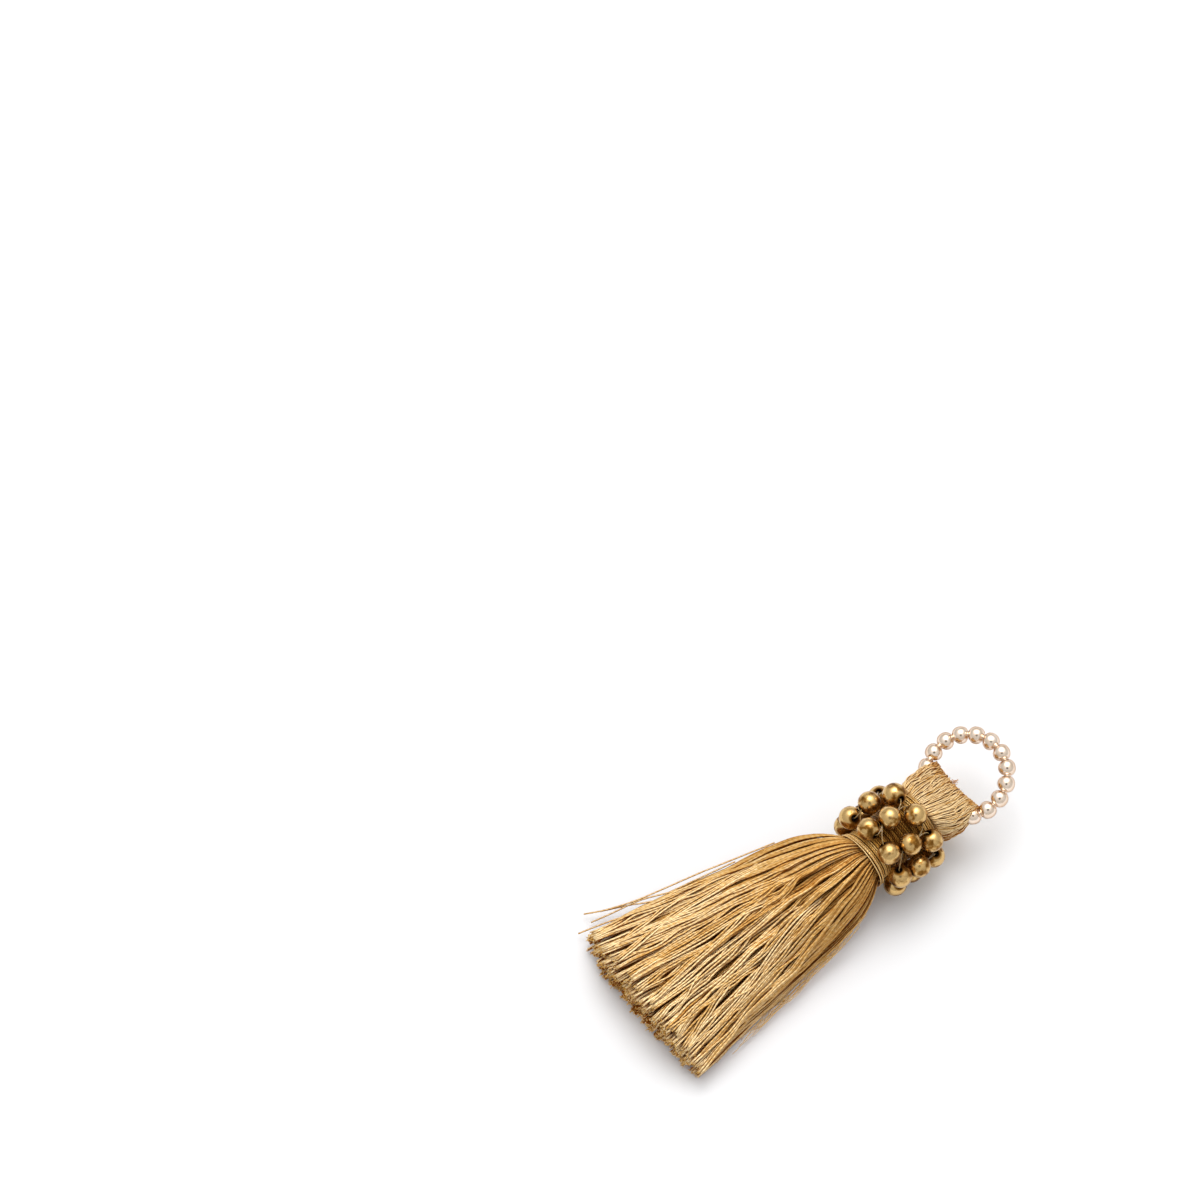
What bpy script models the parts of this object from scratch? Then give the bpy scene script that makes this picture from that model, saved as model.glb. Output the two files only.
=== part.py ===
"""Silk tassel with a beaded collar and a beaded ring, lying on a table.

Blender 4.5, metres, +Z up. The tassel's axis runs along +X, from the cut end of the skirt to
the ring. The table is z = 0, and the origin is on it, under the middle of the tassel's box.
"Along" is a distance from the collar's middle towards the ring, and "side" one towards +Y.
"""
import math
import random

import bmesh
import bpy
from mathutils import Matrix, Vector

MM = 0.001
GAP = 0.3 * MM                      # clearance between pieces that touch on the real tassel

# Collar of round beads, netted in three rows about the neck
BEAD_RADIUS = 1.425 * MM
BEAD_HOLE_RADIUS = 0.36 * MM
BEAD_ARC_POINTS = 7                 # points of a bead's half outline
BEAD_SIDES = 10
BEADS_IN_ROW = 8
BEAD_ROWS = (
    # name,   along (mm), radius of the row (mm), turn of its first bead (degrees), hole runs
    ("head", 2.93, 5.47, 14.6, "around"),
    ("middle", 0.0, 5.70, -4.3, "along"),
    ("skirt", -3.08, 5.47, -12.0, "around"),
)
BEAD_SAGS = {
    # degrees that each bead of a row hangs past its even place, on the net's slack far side
    "head": (0, 0, 0, 0, 3, 12, 22, 0),
    "middle": (0, 0, 0, 0, 0, 8.4, 18, 0),
    "skirt": (0, 0, 0, 0, 0, 8, 0, 0),
}
LOWEST_ROW = BEAD_ROWS[1]
AXIS_HEIGHT = LOWEST_ROW[2] * MM * math.cos(math.radians(LOWEST_ROW[3])) + BEAD_RADIUS

# Thread binding wound round the neck, under the beads
WRAP_COUNT = 12
WRAP_DEPTH = 0.14 * MM
BINDING_RADIUS = 3.72 * MM          # to the crests, under the beads
WAIST_WRAP_RADIUS = 4.0 * MM        # of the last wraps, clear of the beads
WAIST_WRAPS = (0, WRAP_COUNT - 2, WRAP_COUNT - 1)
BINDING_BORE_RADIUS = 3.1 * MM
BINDING_FROM = -5.35 * MM
BINDING_TO = 4.85 * MM
BINDING_SIDES = 20

# Ring of small flattened balls joined by short necks, held in the fold of the silk. Its free
# side stands a little higher than the side in the silk.
RING_RADIUS = 5.48 * MM             # to the middle of the balls
RING_ALONG = 13.1 * MM
RING_SIDE = -0.35 * MM
RING_RISE = 1.3 * MM                # of its middle, above the tassel's axis
RING_PITCH = math.radians(20)
RING_BALLS = 16
RING_FIRST_BALL = math.radians(10.5)
RING_BALL_RADIUS = 1.12 * MM        # across the wire
RING_BALL_LENGTH = 0.9 * MM         # half its length along the wire
RING_BALL_STEPS = (-0.93, -0.65, -0.22, 0.22, 0.65, 0.93)   # along a ball, in half lengths
RING_BEVEL_RESOLUTION = 2
CHANNEL_RADIUS = RING_BALL_RADIUS + 1.2 * GAP
CHANNEL_SIDES = 12
CHANNEL_STEPS = 44

# The silk's head, from the locks' roots to the fold over the ring
NECK_RADIUS = BINDING_BORE_RADIUS - GAP
SHOULDER_RADIUS = 3.9 * MM
STEP = 0.05 * MM                    # run of the steep shoulder at each end of the binding
SKIRT_SHOULDER = BINDING_FROM - GAP
BAND_SHOULDER = BINDING_TO + GAP
HEAD_SECTIONS = (
    # along, side, half width, half height, squareness (2 is round), bow at 4 mm from the middle
    (SKIRT_SHOULDER, 0.0, SHOULDER_RADIUS, SHOULDER_RADIUS, 2.0, 0.0),
    (SKIRT_SHOULDER + STEP, 0.0, NECK_RADIUS, NECK_RADIUS, 2.0, 0.0),
    (BAND_SHOULDER - STEP, 0.0, NECK_RADIUS, NECK_RADIUS, 2.0, 0.0),
    (BAND_SHOULDER, 0.0, SHOULDER_RADIUS, SHOULDER_RADIUS, 2.1, 0.0),
    (5.8 * MM, -0.15 * MM, 4.55 * MM, 3.85 * MM, 2.3, 0.0),
    (7.6 * MM, -0.3 * MM, 4.95 * MM, 3.1 * MM, 2.6, 0.05 * MM),
    (9.3 * MM, -0.35 * MM, 4.95 * MM, 2.5 * MM, 2.8, 0.15 * MM),
    (10.4 * MM, -0.35 * MM, 4.7 * MM, 2.2 * MM, 2.8, 0.25 * MM),
    (11.05 * MM, -0.3 * MM, 4.35 * MM, 1.65 * MM, 2.6, 0.3 * MM),
    (11.3 * MM, -0.3 * MM, 4.0 * MM, 0.7 * MM, 2.5, 0.3 * MM),
)
BOW_AT = 4.0 * MM

# Skirt of cut silk: the locks stand apart from their roots to the cut end
LOCKS_ACROSS = 26
LOCKS_UP = 8
LOCK_GAP = 0.22                     # share of a lock's cell left open at the cut end
LOCK_JITTER = 0.26                  # how far a cell's corner strays, in cells
SKIRT_LENGTH = 39.4 * MM            # from the collar's middle to the cut
SKIRT_SECTIONS = (
    # along, side, half width, underside, top, settled (0 is a round bundle, 1 lies flat)
    (-6.1 * MM, 0.6 * MM, 5.0 * MM, AXIS_HEIGHT - 4.5 * MM, AXIS_HEIGHT + 4.3 * MM, 0.0),
    (-8.6 * MM, 1.1 * MM, 6.7 * MM, 1.5 * MM, 11.5 * MM, 0.25),
    (-12.6 * MM, 1.9 * MM, 8.1 * MM, 0.4 * MM, 11.0 * MM, 0.65),
    (-18.5 * MM, 2.7 * MM, 9.3 * MM, 0.0, 9.9 * MM, 1.0),
    (-28.0 * MM, 3.6 * MM, 11.1 * MM, 0.0, 8.5 * MM, 1.0),
    (-SKIRT_LENGTH, 4.5 * MM, 12.9 * MM, 0.0, 7.2 * MM, 1.0),
)
EDGE_DROP = 0.52                    # how much lower the skirt is at its sides than in its middle
WANDER = 0.32 * MM                  # how far the locks swing to the side at the cut end
TRIM_UNEVENNESS = 0.55 * MM
UNDERSIDE_SHORTER = 0.7 * MM        # the lowest locks are trimmed shorter

TRIM_RANDOM = random.Random(11)
LOCK_TRIMS = [TRIM_RANDOM.uniform(0, TRIM_UNEVENNESS) for _ in range(LOCKS_ACROSS * LOCKS_UP)]
LONGEST_TRIM = max(LOCK_TRIMS[LOCKS_ACROSS:])

# The collar's middle, so that the origin is under the middle of the box
FAR_BALL_ALONG = RING_RADIUS * math.cos(RING_FIRST_BALL) * math.cos(RING_PITCH)
RING_REACH = RING_ALONG + FAR_BALL_ALONG + RING_BALL_RADIUS
SKIRT_REACH = SKIRT_LENGTH + LONGEST_TRIM
COLLAR = Vector(((SKIRT_REACH - RING_REACH) / 2, -SKIRT_SECTIONS[-1][1], AXIS_HEIGHT))

# sRGB colour, metallic, roughness
FINISHES = {
    "silk": ("C9A162", 0.0, 0.45),
    "binding_thread": ("D8B97E", 0.0, 0.4),
    "antique_bronze": ("8C6A2F", 1.0, 0.35),
    "pale_gold": ("E3C29A", 1.0, 0.2),
}


def linear(channel):
    """One sRGB channel, 0 to 1, as linear light."""
    return channel / 12.92 if channel <= 0.04045 else ((channel + 0.055) / 1.055) ** 2.4


def make_material(name):
    """A Principled material from the table of finishes."""
    colour, metallic, roughness = FINISHES[name]
    channels = [linear(int(colour[i:i + 2], 16) / 255) for i in (0, 2, 4)]
    material = bpy.data.materials.new(name)
    material.use_nodes = True
    shader = material.node_tree.nodes["Principled BSDF"]
    shader.inputs["Base Color"].default_value = (*channels, 1.0)
    shader.inputs["Metallic"].default_value = metallic
    shader.inputs["Roughness"].default_value = roughness
    return material


def make_collection(name):
    """A new collection in the scene."""
    collection = bpy.data.collections.new(name)
    bpy.context.scene.collection.children.link(collection)
    return collection


def make_object(name, data, collection, material=None):
    """An object of the data, with its material, in the collection."""
    obj = bpy.data.objects.new(name, data)
    collection.objects.link(obj)
    if material and not data.materials:
        data.materials.append(material)
    return obj


def profile_mesh(name, points):
    """A closed profile in the XZ plane, for a Screw modifier about Z."""
    mesh = bpy.data.meshes.new(name)
    edges = [(i, (i + 1) % len(points)) for i in range(len(points))]
    mesh.from_pydata([(radius, 0.0, height) for radius, height in points], edges, [])
    return mesh


def add_turning(obj, sides):
    """Turn the object's profile once about its Z."""
    screw = obj.modifiers.new("turned", "SCREW")
    screw.steps = screw.render_steps = sides
    screw.use_merge_vertices = True
    screw.merge_threshold = 0.00001
    screw.use_smooth_shade = True


def bead_profile():
    """A ball's half outline from the top of its hole to the bottom: the last edge is the bore."""
    start = math.asin(BEAD_HOLE_RADIUS / BEAD_RADIUS)
    sweep = (math.pi - 2 * start) / (BEAD_ARC_POINTS - 1)
    angles = [start + i * sweep for i in range(BEAD_ARC_POINTS)]
    return [(BEAD_RADIUS * math.sin(a), BEAD_RADIUS * math.cos(a)) for a in angles]


def make_collar(collection, material):
    """Beads in rows about the neck: a bead's turn is from straight up towards -Y."""
    mesh = profile_mesh("bead", bead_profile())
    along = Vector((1, 0, 0))
    for row, distance, radius, first_turn, hole_runs in BEAD_ROWS:
        for i in range(BEADS_IN_ROW):
            turn = math.radians(first_turn - BEAD_SAGS[row][i]) + i * math.tau / BEADS_IN_ROW
            outward = Vector((0, -math.sin(turn), math.cos(turn)))
            hole = along if hole_runs == "along" else outward.cross(along)
            bead = make_object(f"bead_{row}_{i + 1}", mesh, collection, material)
            turned = Matrix((outward, hole.cross(outward), hole)).transposed()
            centre = COLLAR + along * distance * MM + outward * radius * MM
            bead.matrix_world = Matrix.Translation(centre) @ turned.to_4x4()
            add_turning(bead, BEAD_SIDES)


def binding_profile():
    """The wraps' crests and valleys from the ring's end to the skirt's, then the bore."""
    pitch = (BINDING_TO - BINDING_FROM) / WRAP_COUNT
    points = [(BINDING_RADIUS - WRAP_DEPTH, BINDING_TO)]
    for i in range(WRAP_COUNT):
        crest = WAIST_WRAP_RADIUS if i in WAIST_WRAPS else BINDING_RADIUS
        points.append((crest, BINDING_TO - (i + 0.5) * pitch))
        points.append((crest - WRAP_DEPTH, BINDING_TO - (i + 1) * pitch))
    points.append((BINDING_BORE_RADIUS, BINDING_FROM))
    points.append((BINDING_BORE_RADIUS, BINDING_TO))
    return points


def make_binding(collection, material):
    """The wound binding, turned about the tassel's axis."""
    binding = make_object("neck_binding", profile_mesh("binding", binding_profile()),
                          collection, material)
    binding.matrix_world = Matrix.Translation(COLLAR) @ Matrix.Rotation(math.pi / 2, 4, "Y")
    add_turning(binding, BINDING_SIDES)


def ring_place():
    """The ring's middle and its pitch, as one matrix."""
    centre = COLLAR + Vector((RING_ALONG, RING_SIDE, RING_RISE))
    return Matrix.Translation(centre) @ Matrix.Rotation(-RING_PITCH, 4, "Y")


def make_ring(collection, material):
    """A closed wire that swells to a flattened ball and back, sixteen times round."""
    curve = bpy.data.curves.new("beaded_ring", "CURVE")
    curve.dimensions = "3D"
    curve.bevel_depth = RING_BALL_RADIUS
    curve.bevel_resolution = RING_BEVEL_RESOLUTION
    curve.render_resolution_u = 0
    spline = curve.splines.new("POLY")
    spline.points.add(RING_BALLS * len(RING_BALL_STEPS) - 1)
    spline.use_cyclic_u = True
    spline.use_smooth = True
    for i, point in enumerate(spline.points):
        ball, step = divmod(i, len(RING_BALL_STEPS))
        across = RING_BALL_STEPS[step]
        middle = RING_FIRST_BALL + ball * math.tau / RING_BALLS
        angle = middle + across * RING_BALL_LENGTH / RING_RADIUS
        point.co = (RING_RADIUS * math.cos(angle), RING_RADIUS * math.sin(angle), 0.0, 1.0)
        point.radius = math.sqrt(1 - across ** 2)
    ring = make_object("beaded_ring", curve, collection, material)
    ring.matrix_world = ring_place()


def make_ring_channel(collection):
    """The tunnel that the ring leaves in the silk's fold."""
    bpy.ops.mesh.primitive_torus_add(
        major_radius=RING_RADIUS, minor_radius=CHANNEL_RADIUS,
        major_segments=CHANNEL_STEPS, minor_segments=CHANNEL_SIDES)
    cutter = bpy.context.object
    cutter.matrix_world = ring_place()
    cutter.name = "ring_channel"
    for owner in list(cutter.users_collection):
        owner.objects.unlink(cutter)
    collection.objects.link(cutter)
    cutter.hide_render = True
    cutter.display_type = "WIRE"
    return cutter


def to_disc(across, up):
    """A point of the square from -1 to 1, moved to the round disc that fits in it."""
    return across * math.sqrt(1 - up * up / 2), up * math.sqrt(1 - across * across / 2)


def head_point(across, up, section):
    """A rim point of the square of locks, carried to one section of the head."""
    distance, side, half_width, half_height, squareness, bow = section
    right, raised = to_disc(across, up)
    reach = (abs(right) ** squareness + abs(raised) ** squareness) ** (-1 / squareness)
    sideways = -right * reach * half_width
    bowed = distance + bow * (sideways / BOW_AT) ** 2
    return COLLAR + Vector((bowed, side + sideways, raised * reach * half_height))


def skirt_point(across, up, section):
    """A point of the square of locks, carried to one section of the skirt.

    A round bundle settles to a low heap: flat underneath, and lower at its sides.
    """
    distance, side, half_width, underside, top, settled = section
    right, raised = to_disc(across, up)
    bundle_height = (top + underside) / 2 + raised * (top - underside) / 2
    share_up = (up + 1) / 2
    heap_height = underside + (top - underside) * share_up * (1 - EDGE_DROP * across ** 2)
    height = bundle_height + settled * (heap_height - bundle_height)
    sideways = -half_width * (right + settled * (across - right))
    swing = WANDER * distance / SKIRT_LENGTH * (1 - across ** 2)
    sideways += swing * math.sin(9 * across + 4 * up + 3 * distance / SKIRT_LENGTH)
    return Vector((COLLAR.x + distance, COLLAR.y + side + sideways, height))


def make_lock_cells(bm):
    """The square of locks as a grid, its corners strayed a little, kept as vertex values."""
    stray = random.Random(5)
    bmesh.ops.create_grid(bm, x_segments=LOCKS_ACROSS, y_segments=LOCKS_UP, size=1.0)
    across_layer = bm.verts.layers.float.new("across")
    up_layer = bm.verts.layers.float.new("up")
    for vert in bm.verts:
        across, up = vert.co.x, vert.co.y
        if abs(across) < 0.99:
            across += stray.uniform(-1, 1) * LOCK_JITTER * 2 / LOCKS_ACROSS
        if abs(up) < 0.99:
            up += stray.uniform(-1, 1) * LOCK_JITTER * 2 / LOCKS_UP
        vert[across_layer], vert[up_layer] = across, up
        vert.co = skirt_point(across, up, SKIRT_SECTIONS[0])
    return across_layer, up_layer


def grow_head(bm, layers):
    """Extrude the rim of the locks' roots from section to section, and close the fold."""
    across, up = layers
    rim = [edge for edge in bm.edges if edge.is_boundary]
    for section in HEAD_SECTIONS:
        extruded = bmesh.ops.extrude_edge_only(bm, edges=rim)["geom"]
        rim = [item for item in extruded if isinstance(item, bmesh.types.BMEdge)]
        for vert in {vert for edge in rim for vert in edge.verts}:
            vert.co = head_point(vert[across], vert[up], section)
    fold = bmesh.ops.edgenet_fill(bm, edges=rim)["faces"]
    bmesh.ops.triangulate(bm, faces=fold, ngon_method="BEAUTY")


def grow_locks(bm, layers):
    """Extrude each cell by itself from section to section, shrinking it to part the locks."""
    across, up = layers
    cell_layer = bm.faces.layers.int.new("cell")
    cells = [face for face in bm.faces if len(face.verts) == 4]
    rows = {}
    for index, face in enumerate(cells):
        face[cell_layer] = index
        rows[index] = min(vert[up] for vert in face.verts)
    for section in SKIRT_SECTIONS[1:]:
        cells = bmesh.ops.extrude_discrete_faces(bm, faces=cells)["faces"]
        at_end = section is SKIRT_SECTIONS[-1]
        for face in cells:
            index = face[cell_layer]
            lowest = rows[index] < -0.99
            trim = (-UNDERSIDE_SHORTER if lowest else LOCK_TRIMS[index]) if at_end else 0.0
            middle_across = sum(vert[across] for vert in face.verts) / 4
            middle_up = sum(vert[up] for vert in face.verts) / 4
            kept = 1 - LOCK_GAP * min(1, section[0] / SKIRT_SECTIONS[3][0])
            for vert in face.verts:
                place = [vert[across], vert[up]]
                if abs(place[0]) < 0.99:
                    place[0] = middle_across + (place[0] - middle_across) * kept
                if abs(place[1]) < 0.99:
                    place[1] = middle_up + (place[1] - middle_up) * kept
                vert.co = skirt_point(*place, section) - Vector((trim, 0, 0))


def make_skein(collection, cutters, material):
    """Head, neck and locks in one body: the locks' roots are the neck's own end face."""
    bm = bmesh.new()
    layers = make_lock_cells(bm)
    grow_locks(bm, layers)
    grow_head(bm, layers)
    bmesh.ops.recalc_face_normals(bm, faces=bm.faces)
    mesh = bpy.data.meshes.new("silk_skein")
    bm.to_mesh(mesh)
    bm.free()
    skein = make_object("silk_skein", mesh, collection, material)
    channel = skein.modifiers.new("ring_channel", "BOOLEAN")
    channel.operation = "DIFFERENCE"
    channel.solver = "EXACT"
    channel.object = make_ring_channel(cutters)


def build_tassel():
    """Clear the scene and build every piece."""
    for obj in list(bpy.data.objects):
        bpy.data.objects.remove(obj)
    parts = make_collection("silk_tassel")
    cutters = make_collection("cutters")
    materials = {name: make_material(name) for name in FINISHES}
    make_skein(parts, cutters, materials["silk"])
    make_binding(parts, materials["binding_thread"])
    make_collar(parts, materials["antique_bronze"])
    make_ring(parts, materials["pale_gold"])


build_tassel()
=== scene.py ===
"""The silk tassel's finish: real threads, wound neck, netted bronze beads and beaded ring.

Lengths are millimetres until a mesh is made. "Down" is a distance from the collar's middle
towards the cut end, and "along" one towards the ring. "Side" runs towards +Y. In the skirt,
"across" runs from -1 at the +Y edge to 1 at the -Y edge, and "up" from -1 underneath to 1.
"""
import math

import bpy
import numpy as np
from mathutils import Matrix, Vector


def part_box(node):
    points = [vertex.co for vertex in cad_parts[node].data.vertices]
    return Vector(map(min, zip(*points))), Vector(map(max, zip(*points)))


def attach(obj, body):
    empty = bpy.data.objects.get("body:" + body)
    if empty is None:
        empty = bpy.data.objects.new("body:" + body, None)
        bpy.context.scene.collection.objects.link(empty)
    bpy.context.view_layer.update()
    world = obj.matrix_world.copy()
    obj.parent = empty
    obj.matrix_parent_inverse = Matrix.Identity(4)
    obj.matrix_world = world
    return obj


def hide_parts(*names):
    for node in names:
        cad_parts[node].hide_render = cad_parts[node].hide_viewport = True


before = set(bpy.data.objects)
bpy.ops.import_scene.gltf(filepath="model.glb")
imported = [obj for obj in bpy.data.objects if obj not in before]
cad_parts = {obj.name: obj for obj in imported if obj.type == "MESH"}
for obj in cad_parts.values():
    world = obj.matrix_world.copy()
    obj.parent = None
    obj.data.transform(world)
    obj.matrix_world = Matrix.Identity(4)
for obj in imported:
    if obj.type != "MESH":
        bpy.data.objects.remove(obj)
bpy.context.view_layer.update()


MM = 0.001

# ---- sizes

BEADS_IN_ROW = 8
BEAD_ROWS = ("head", "middle", "skirt")
BEAD_RADIUS = 1.56
BEAD_SIZES = (0.985, 1.005)  # least and most, of the radius
BEAD_WIDTHS = (0.99, 1.01)  # and of each of its widths
LARGEST_BEAD = ("head", 8)
LARGER_BY = 0.03
BEAD_HOLE_RADIUS = 0.34
BEAD_LIP = 0.1  # rounding of the hole's mouth
BEAD_BORE = 0.5  # half the length of its straight part
PATINA_REACH = 0.42  # of the patina round the hole
LINE_RADIUS = 0.09  # the nylon that strings the beads
LINE_IN_HOLE = 0.8  # where it starts, of the bead's radius
LINE_AIM = 2  # mm along the hole, from which it finds the next bead
LINE_BULGE = 2.2  # mm along the hole towards which it bows
LINE_SLACK = 1.6

RING_RADIUS = 5.48
RING_BALLS = 16
RING_FIRST_BALL = math.radians(10.5)
RING_PITCH = math.radians(20)  # how far the ring's free side stands up
RING_BALL_RADIUS = 1.17  # across the wire
RING_BALL_LENGTH = 1.07  # half a ball's length along the wire
RING_BALL_SQUARENESS = 2.2  # 2 is a round ball
RING_NECK_RADIUS = 0.4
RING_STEPS = 22  # for each ball

THREAD_RADIUS = 0.185
THREAD_LAY = 0.75  # length of one turn of the thread's twist
TOP_OF_THREAD = 0.25  # turns about a thread, where the painted side shade doesn't reach
SIDE_SHADE_ENDS = 0.3  # sine of the turn, above which the painted side shade clears
RIB_SHADE = 0.18  # how much the rib's painted shade and highlight change the colour
RIB_HEIGHT = 0.05
DYE_UNEVEN = 0.5  # how much the dye does
DYE_PATCH = 1.6

SKIRT_THREADS = 1035
SKIRT_LOCKS = 190  # flat locks that the threads cling together in
LOCK_COLUMN = 0.42  # between the threads of a lock's row, at the cut end
LOCK_ROW = 0.32  # between its two rows
LOCK_TILT = 0.35  # radians from level, in a usual lock
LOCK_TWIST = 0.5  # and more of it by the cut end
CORD_PITCH = 0.34  # near the neck a lock is two cords of three threads
CORD_STEP = 0.08  # how much higher one of them lies
CORD_UNEVEN = 0.1
CORDS_PART = (10.0, 22.0)  # mm down between which the cords open into threads
SKIRT_STEPS = 56
SKIRT_PIECES = ("skirt_threads_under", "skirt_threads_inner", "skirt_threads_top")
SKIRT_ROOT = 4.5
SKIRT_LENGTH = 39.4
ROOMY = 92  # half width times height, where threads have their full size
# How they wander: the waves' lengths, as shares of the skirt, and sizes in mm.
LOCK_DRIFT = ((1.5, 0.62, 0.3), (0.42, 0.2, 0.07))
LOCK_LIFT = ((1.3, 0.5), (0.28, 0.17))
THREAD_DRIFT = ((0.42, 0.18, 0.09), (0.15, 0.08, 0.035))
THREAD_LIFT = ((0.4, 0.17), (0.11, 0.05))
WILD_SHARE = 0.09  # of the threads stray from their lock
WILD_REACH = 1.2
LOOSENS = 2.5  # one over the share of the skirt in which all that sets in
LOCK_UNEVEN = (0.04, 0.09)  # of a thread in its lock, beside and above
CORD_LAY = (0.01, 0.05)  # from thread to thread in a cord, beside and above
OUTERMOST = 0.985  # how far across the outermost locks end
EDGE_CALM = 0.6  # how much less they wander
SOFT_TOP = 0.95  # up, above which the top gives way
LOCK_TINT = (0.55, 0.06)  # its middle and its spread
THREAD_TINT = 0.11
# Painted shade and light in the skirt's tone: darker where buried and near the neck, paler where
# the fan is open and at the cut ends.
BURIED_PAINTED_SHADE = 0.42
NECK_PAINTED_SHADE = 0.12  # near the neck
OPEN_PAINTED_LIGHT = 0.17  # where the fan is open
TIP_PAINTED_LIGHT = 0.2
PINCHED = 0.16  # share of its radius that a thread keeps at the neck
THREAD_SIZES = (0.86, 1.1)
TRIM = 0.2  # unevenness of the cut, thread by thread
LOCK_TRIM = 0.45  # and lock by lock
TRIM_LIMITS = (-1.3, 0.5)
CUT_OUTLINE = (
    # across, mm that the cut is longer there
    (-1.0, -2.0), (-0.85, -1.0), (-0.55, 0.0), (0.0, 0.35), (0.7, 0.35), (1.0, -0.3))
UNDERSIDE_SHORTER = 0.7
EDGE_DROPS = (0.52, 0.64)  # how much lower the skirt is at its +Y and -Y sides
EDGE_POWERS = (2.0, 2.4)  # how suddenly
UNDERCUT = 0.13  # how much narrower the heap's -Y half is underneath

SQUARENESS = 5  # of the skirt's section: 2 is round
CLOSED = 0.74  # how far out a round bundle's top reaches
FAN_RATES = (0.030, 0.014)  # growth of the fan for each mm down, on +Y and -Y
FLAP_EDGE = -0.45  # the +Y silk from here on lies over the rest
FLAP_SHIFT = 0.16  # how much further across it starts
FLAP_SETTLES = 9.0  # mm down in which that falls to a third
PARTING_REACH = 0.8  # mm to the side where a parting's push dies away

PARTINGS = (
    # down from, down to, across from, across to, half width in mm: where the top silk parts
    (16.5, 28.5, -0.16, -0.2, 0.3), (15.0, 18.8, -0.09, -0.06, 0.24),
    (23.5, 32.8, -0.02, -0.08, 0.32), (31.8, 38.6, -0.01, -0.04, 0.26),
    (22.4, 27.0, -0.63, -0.75, 0.26), (30.0, 34.3, -0.75, -0.88, 0.26),
    (30.5, 37.0, -0.35, -0.41, 0.22), (11.7, 16.3, 0.03, -0.02, 0.2),
    (14.6, 18.8, 0.2, 0.25, 0.2), (13.2, 17.9, 0.27, 0.31, 0.18),
    (21.2, 27.8, 0.4, 0.45, 0.32), (20.5, 26.1, 0.29, 0.27, 0.2),
    (26.3, 32.6, 0.34, 0.36, 0.2), (32.5, 39.5, 0.54, 0.51, 0.16),
    (25.7, 30.9, 0.66, 0.63, 0.13), (32.2, 39.0, 0.65, 0.69, 0.15),
    (30.0, 36.6, 0.8, 0.85, 0.15), (12.3, 17.6, -0.54, -0.68, 0.18),
    (17.8, 21.9, -0.58, -0.67, 0.22), (18.2, 21.2, -0.47, -0.52, 0.18),
    (16.3, 20.2, 0.5, 0.54, 0.2), (8.0, 11.5, 0.57, 0.54, 0.14),
    (36.0, 39.5, 0.31, 0.31, 0.24), (9.8, 13.6, 0.22, 0.21, 0.16),
    (8.8, 12.1, -0.46, -0.49, 0.14), (28.2, 31.0, -0.31, -0.32, 0.18),
    (30.7, 33.0, 0.28, 0.28, 0.18), (11.7, 16.9, 0.48, 0.49, 0.15),
    (21.1, 26.1, 0.9, 0.89, 0.15), (13.0, 20.0, 0.72, 0.76, 0.15),
    (15.0, 22.5, 0.84, 0.86, 0.14), (19.0, 26.0, 0.76, 0.77, 0.16),
    (26.0, 34.0, 0.88, 0.91, 0.13), (24.0, 31.0, 0.81, 0.82, 0.14),
    (33.5, 39.5, 0.93, 0.95, 0.12), (11.5, 17.5, 0.62, 0.66, 0.14),
)

RIBBON_SPACING = 0.33  # between the threads of a crossing ribbon
RIBBON_RISE = (0.5, 0.53)  # up, where it starts beneath the top, and what it gains
CROSSINGS = (
    # threads, then down and across of ribbons that lie over the rest
    (5, (14.5, -0.03), (20.0, -0.06), (26.0, -0.11), (32.0, -0.15), (38.9, -0.22)),
    (3, (15.9, -0.14), (23.4, -0.015), (32.2, 0.077), (39.3, 0.12)),
    (3, (23.0, 0.385), (28.0, 0.446), (33.0, 0.55), (39.6, 0.69)),
    (3, (9.0, 0.33), (16.0, 0.45), (24.0, 0.59), (33.0, 0.72), (39.4, 0.75)),
    (2, (12.0, 0.1), (20.0, 0.19), (30.0, 0.23), (39.5, 0.2)),
    (2, (22.0, 0.56), (30.0, 0.52), (39.6, 0.47)),
    (3, (10.0, -0.5), (18.0, -0.57), (27.0, -0.56), (38.6, -0.47)),
    (2, (16.0, -0.77), (26.0, -0.73), (37.8, -0.62)),
    (1, (24.0, 0.1), (31.0, 0.22), (39.5, 0.38)),
    (1, (28.0, 0.75), (34.0, 0.74), (39.3, 0.70)),
)

STRAYS = (
    # down, side, height: single threads that have left the skirt's +Y edge
    ((11.5, 9.9, 5.2), (16.8, 11.8, 4.5), (21.4, 13.5, 3.8), (26.1, 15.1, 3.0),
     (30.1, 16.5, 2.4), (33.7, 18.3, 1.6), (36.1, 19.9, 1.0)),
    ((17.0, 11.5, 4.4), (21.1, 12.8, 3.7), (26.2, 14.4, 2.8)),
    ((23.5, 13.1, 3.4), (25.7, 14.1, 3.0), (29.5, 16.1, 2.4), (33.4, 17.4, 1.6),
     (36.1, 18.4, 0.9)),
    ((24.0, 12.5, 3.2), (28.5, 15.0, 2.4), (30.9, 16.6, 2.0), (34.3, 18.7, 1.3)),
    ((30.7, 14.8, 2.6), (33.1, 16.0, 2.2), (35.7, 17.1, 1.8), (38.5, 18.2, 1.2)),
)

STRAY_RADIUS = 0.11
FRAY_FILAMENTS = 4  # brushed out of each thread's end
FRAY_REACH = (0.08, 0.5)
FRAY_RADIUS = 0.055
HAZE_FILAMENTS = 22  # fine ones, low along the -Y edge
HAZE_RADIUS = 0.034  # far finer than a thread, and still seen
TUFT_FILAMENTS = 10
TUFT_ROOT = (11.1, 0.2, 0.7)  # from the collar's middle
TUFT_LEAN = (0.35, -0.1, 0.25)

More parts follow.
